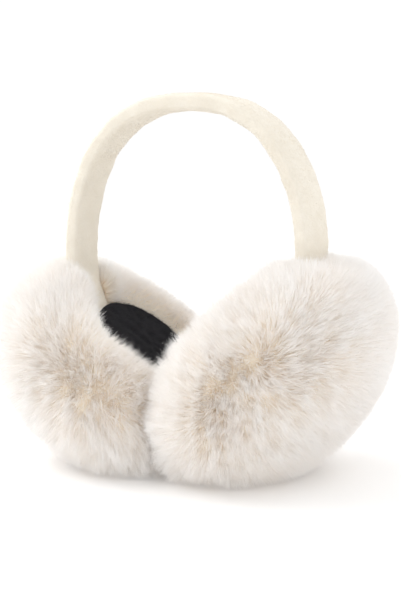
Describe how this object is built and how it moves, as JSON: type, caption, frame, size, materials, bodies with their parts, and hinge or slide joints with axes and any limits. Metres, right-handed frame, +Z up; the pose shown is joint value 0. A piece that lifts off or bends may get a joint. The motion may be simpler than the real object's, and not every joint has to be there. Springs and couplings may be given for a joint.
{
  "type": "fur earmuffs",
  "caption": "Plush fur earmuffs with a padded velour headband and round fur ear pads with a dark lining in the ear hollows, standing on the pads.",
  "frame": {"origin": "on the surface that the pair stands on, at the middle of its overall footprint", "axes": "+Z up to the top of the headband, X across from the left ear pad to the right one, -Y to the front"},
  "size_m": [0.1848, 0.1248, 0.1679],
  "materials": {
    "velour": "short-pile cream velour over soft padding, matt with a light sheen",
    "fur": "deep soft off-white faux fur, matt",
    "lining": "near-black brushed knit, matt"
  },
  "bodies": {
    "root": {"headband": "velour", "ear_fur_left": "fur", "ear_fur_right": "fur", "ear_lining_left": "lining", "ear_lining_right": "lining"}
  },
  "joints": []
}
